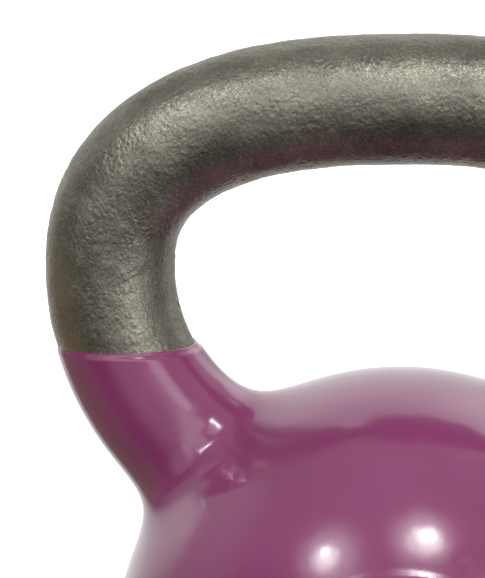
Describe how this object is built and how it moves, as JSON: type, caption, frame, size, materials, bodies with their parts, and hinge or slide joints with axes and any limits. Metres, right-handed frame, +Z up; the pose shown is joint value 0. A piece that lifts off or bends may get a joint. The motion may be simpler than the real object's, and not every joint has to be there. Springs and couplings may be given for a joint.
{
  "type": "kettlebell",
  "caption": "Round kettlebell: iron casting with a loop handle, purple vinyl jacket on bell and horns, black textured enamel on the grip.",
  "frame": {"origin": "centre of the flat base, on the floor", "axes": "+Z up through the top of the handle, X along the grip from one horn to the other, -Y towards the front of the bell"},
  "size_m": [0.1762, 0.1454, 0.215],
  "materials": {
    "cast_iron": "sand-cast grey iron",
    "purple_vinyl": "glossy dipped vinyl",
    "black_enamel": "textured semi-gloss baked enamel"
  },
  "bodies": {
    "root": {"iron_casting": "cast_iron", "vinyl_jacket": "purple_vinyl", "handle_enamel": "black_enamel"}
  },
  "joints": []
}
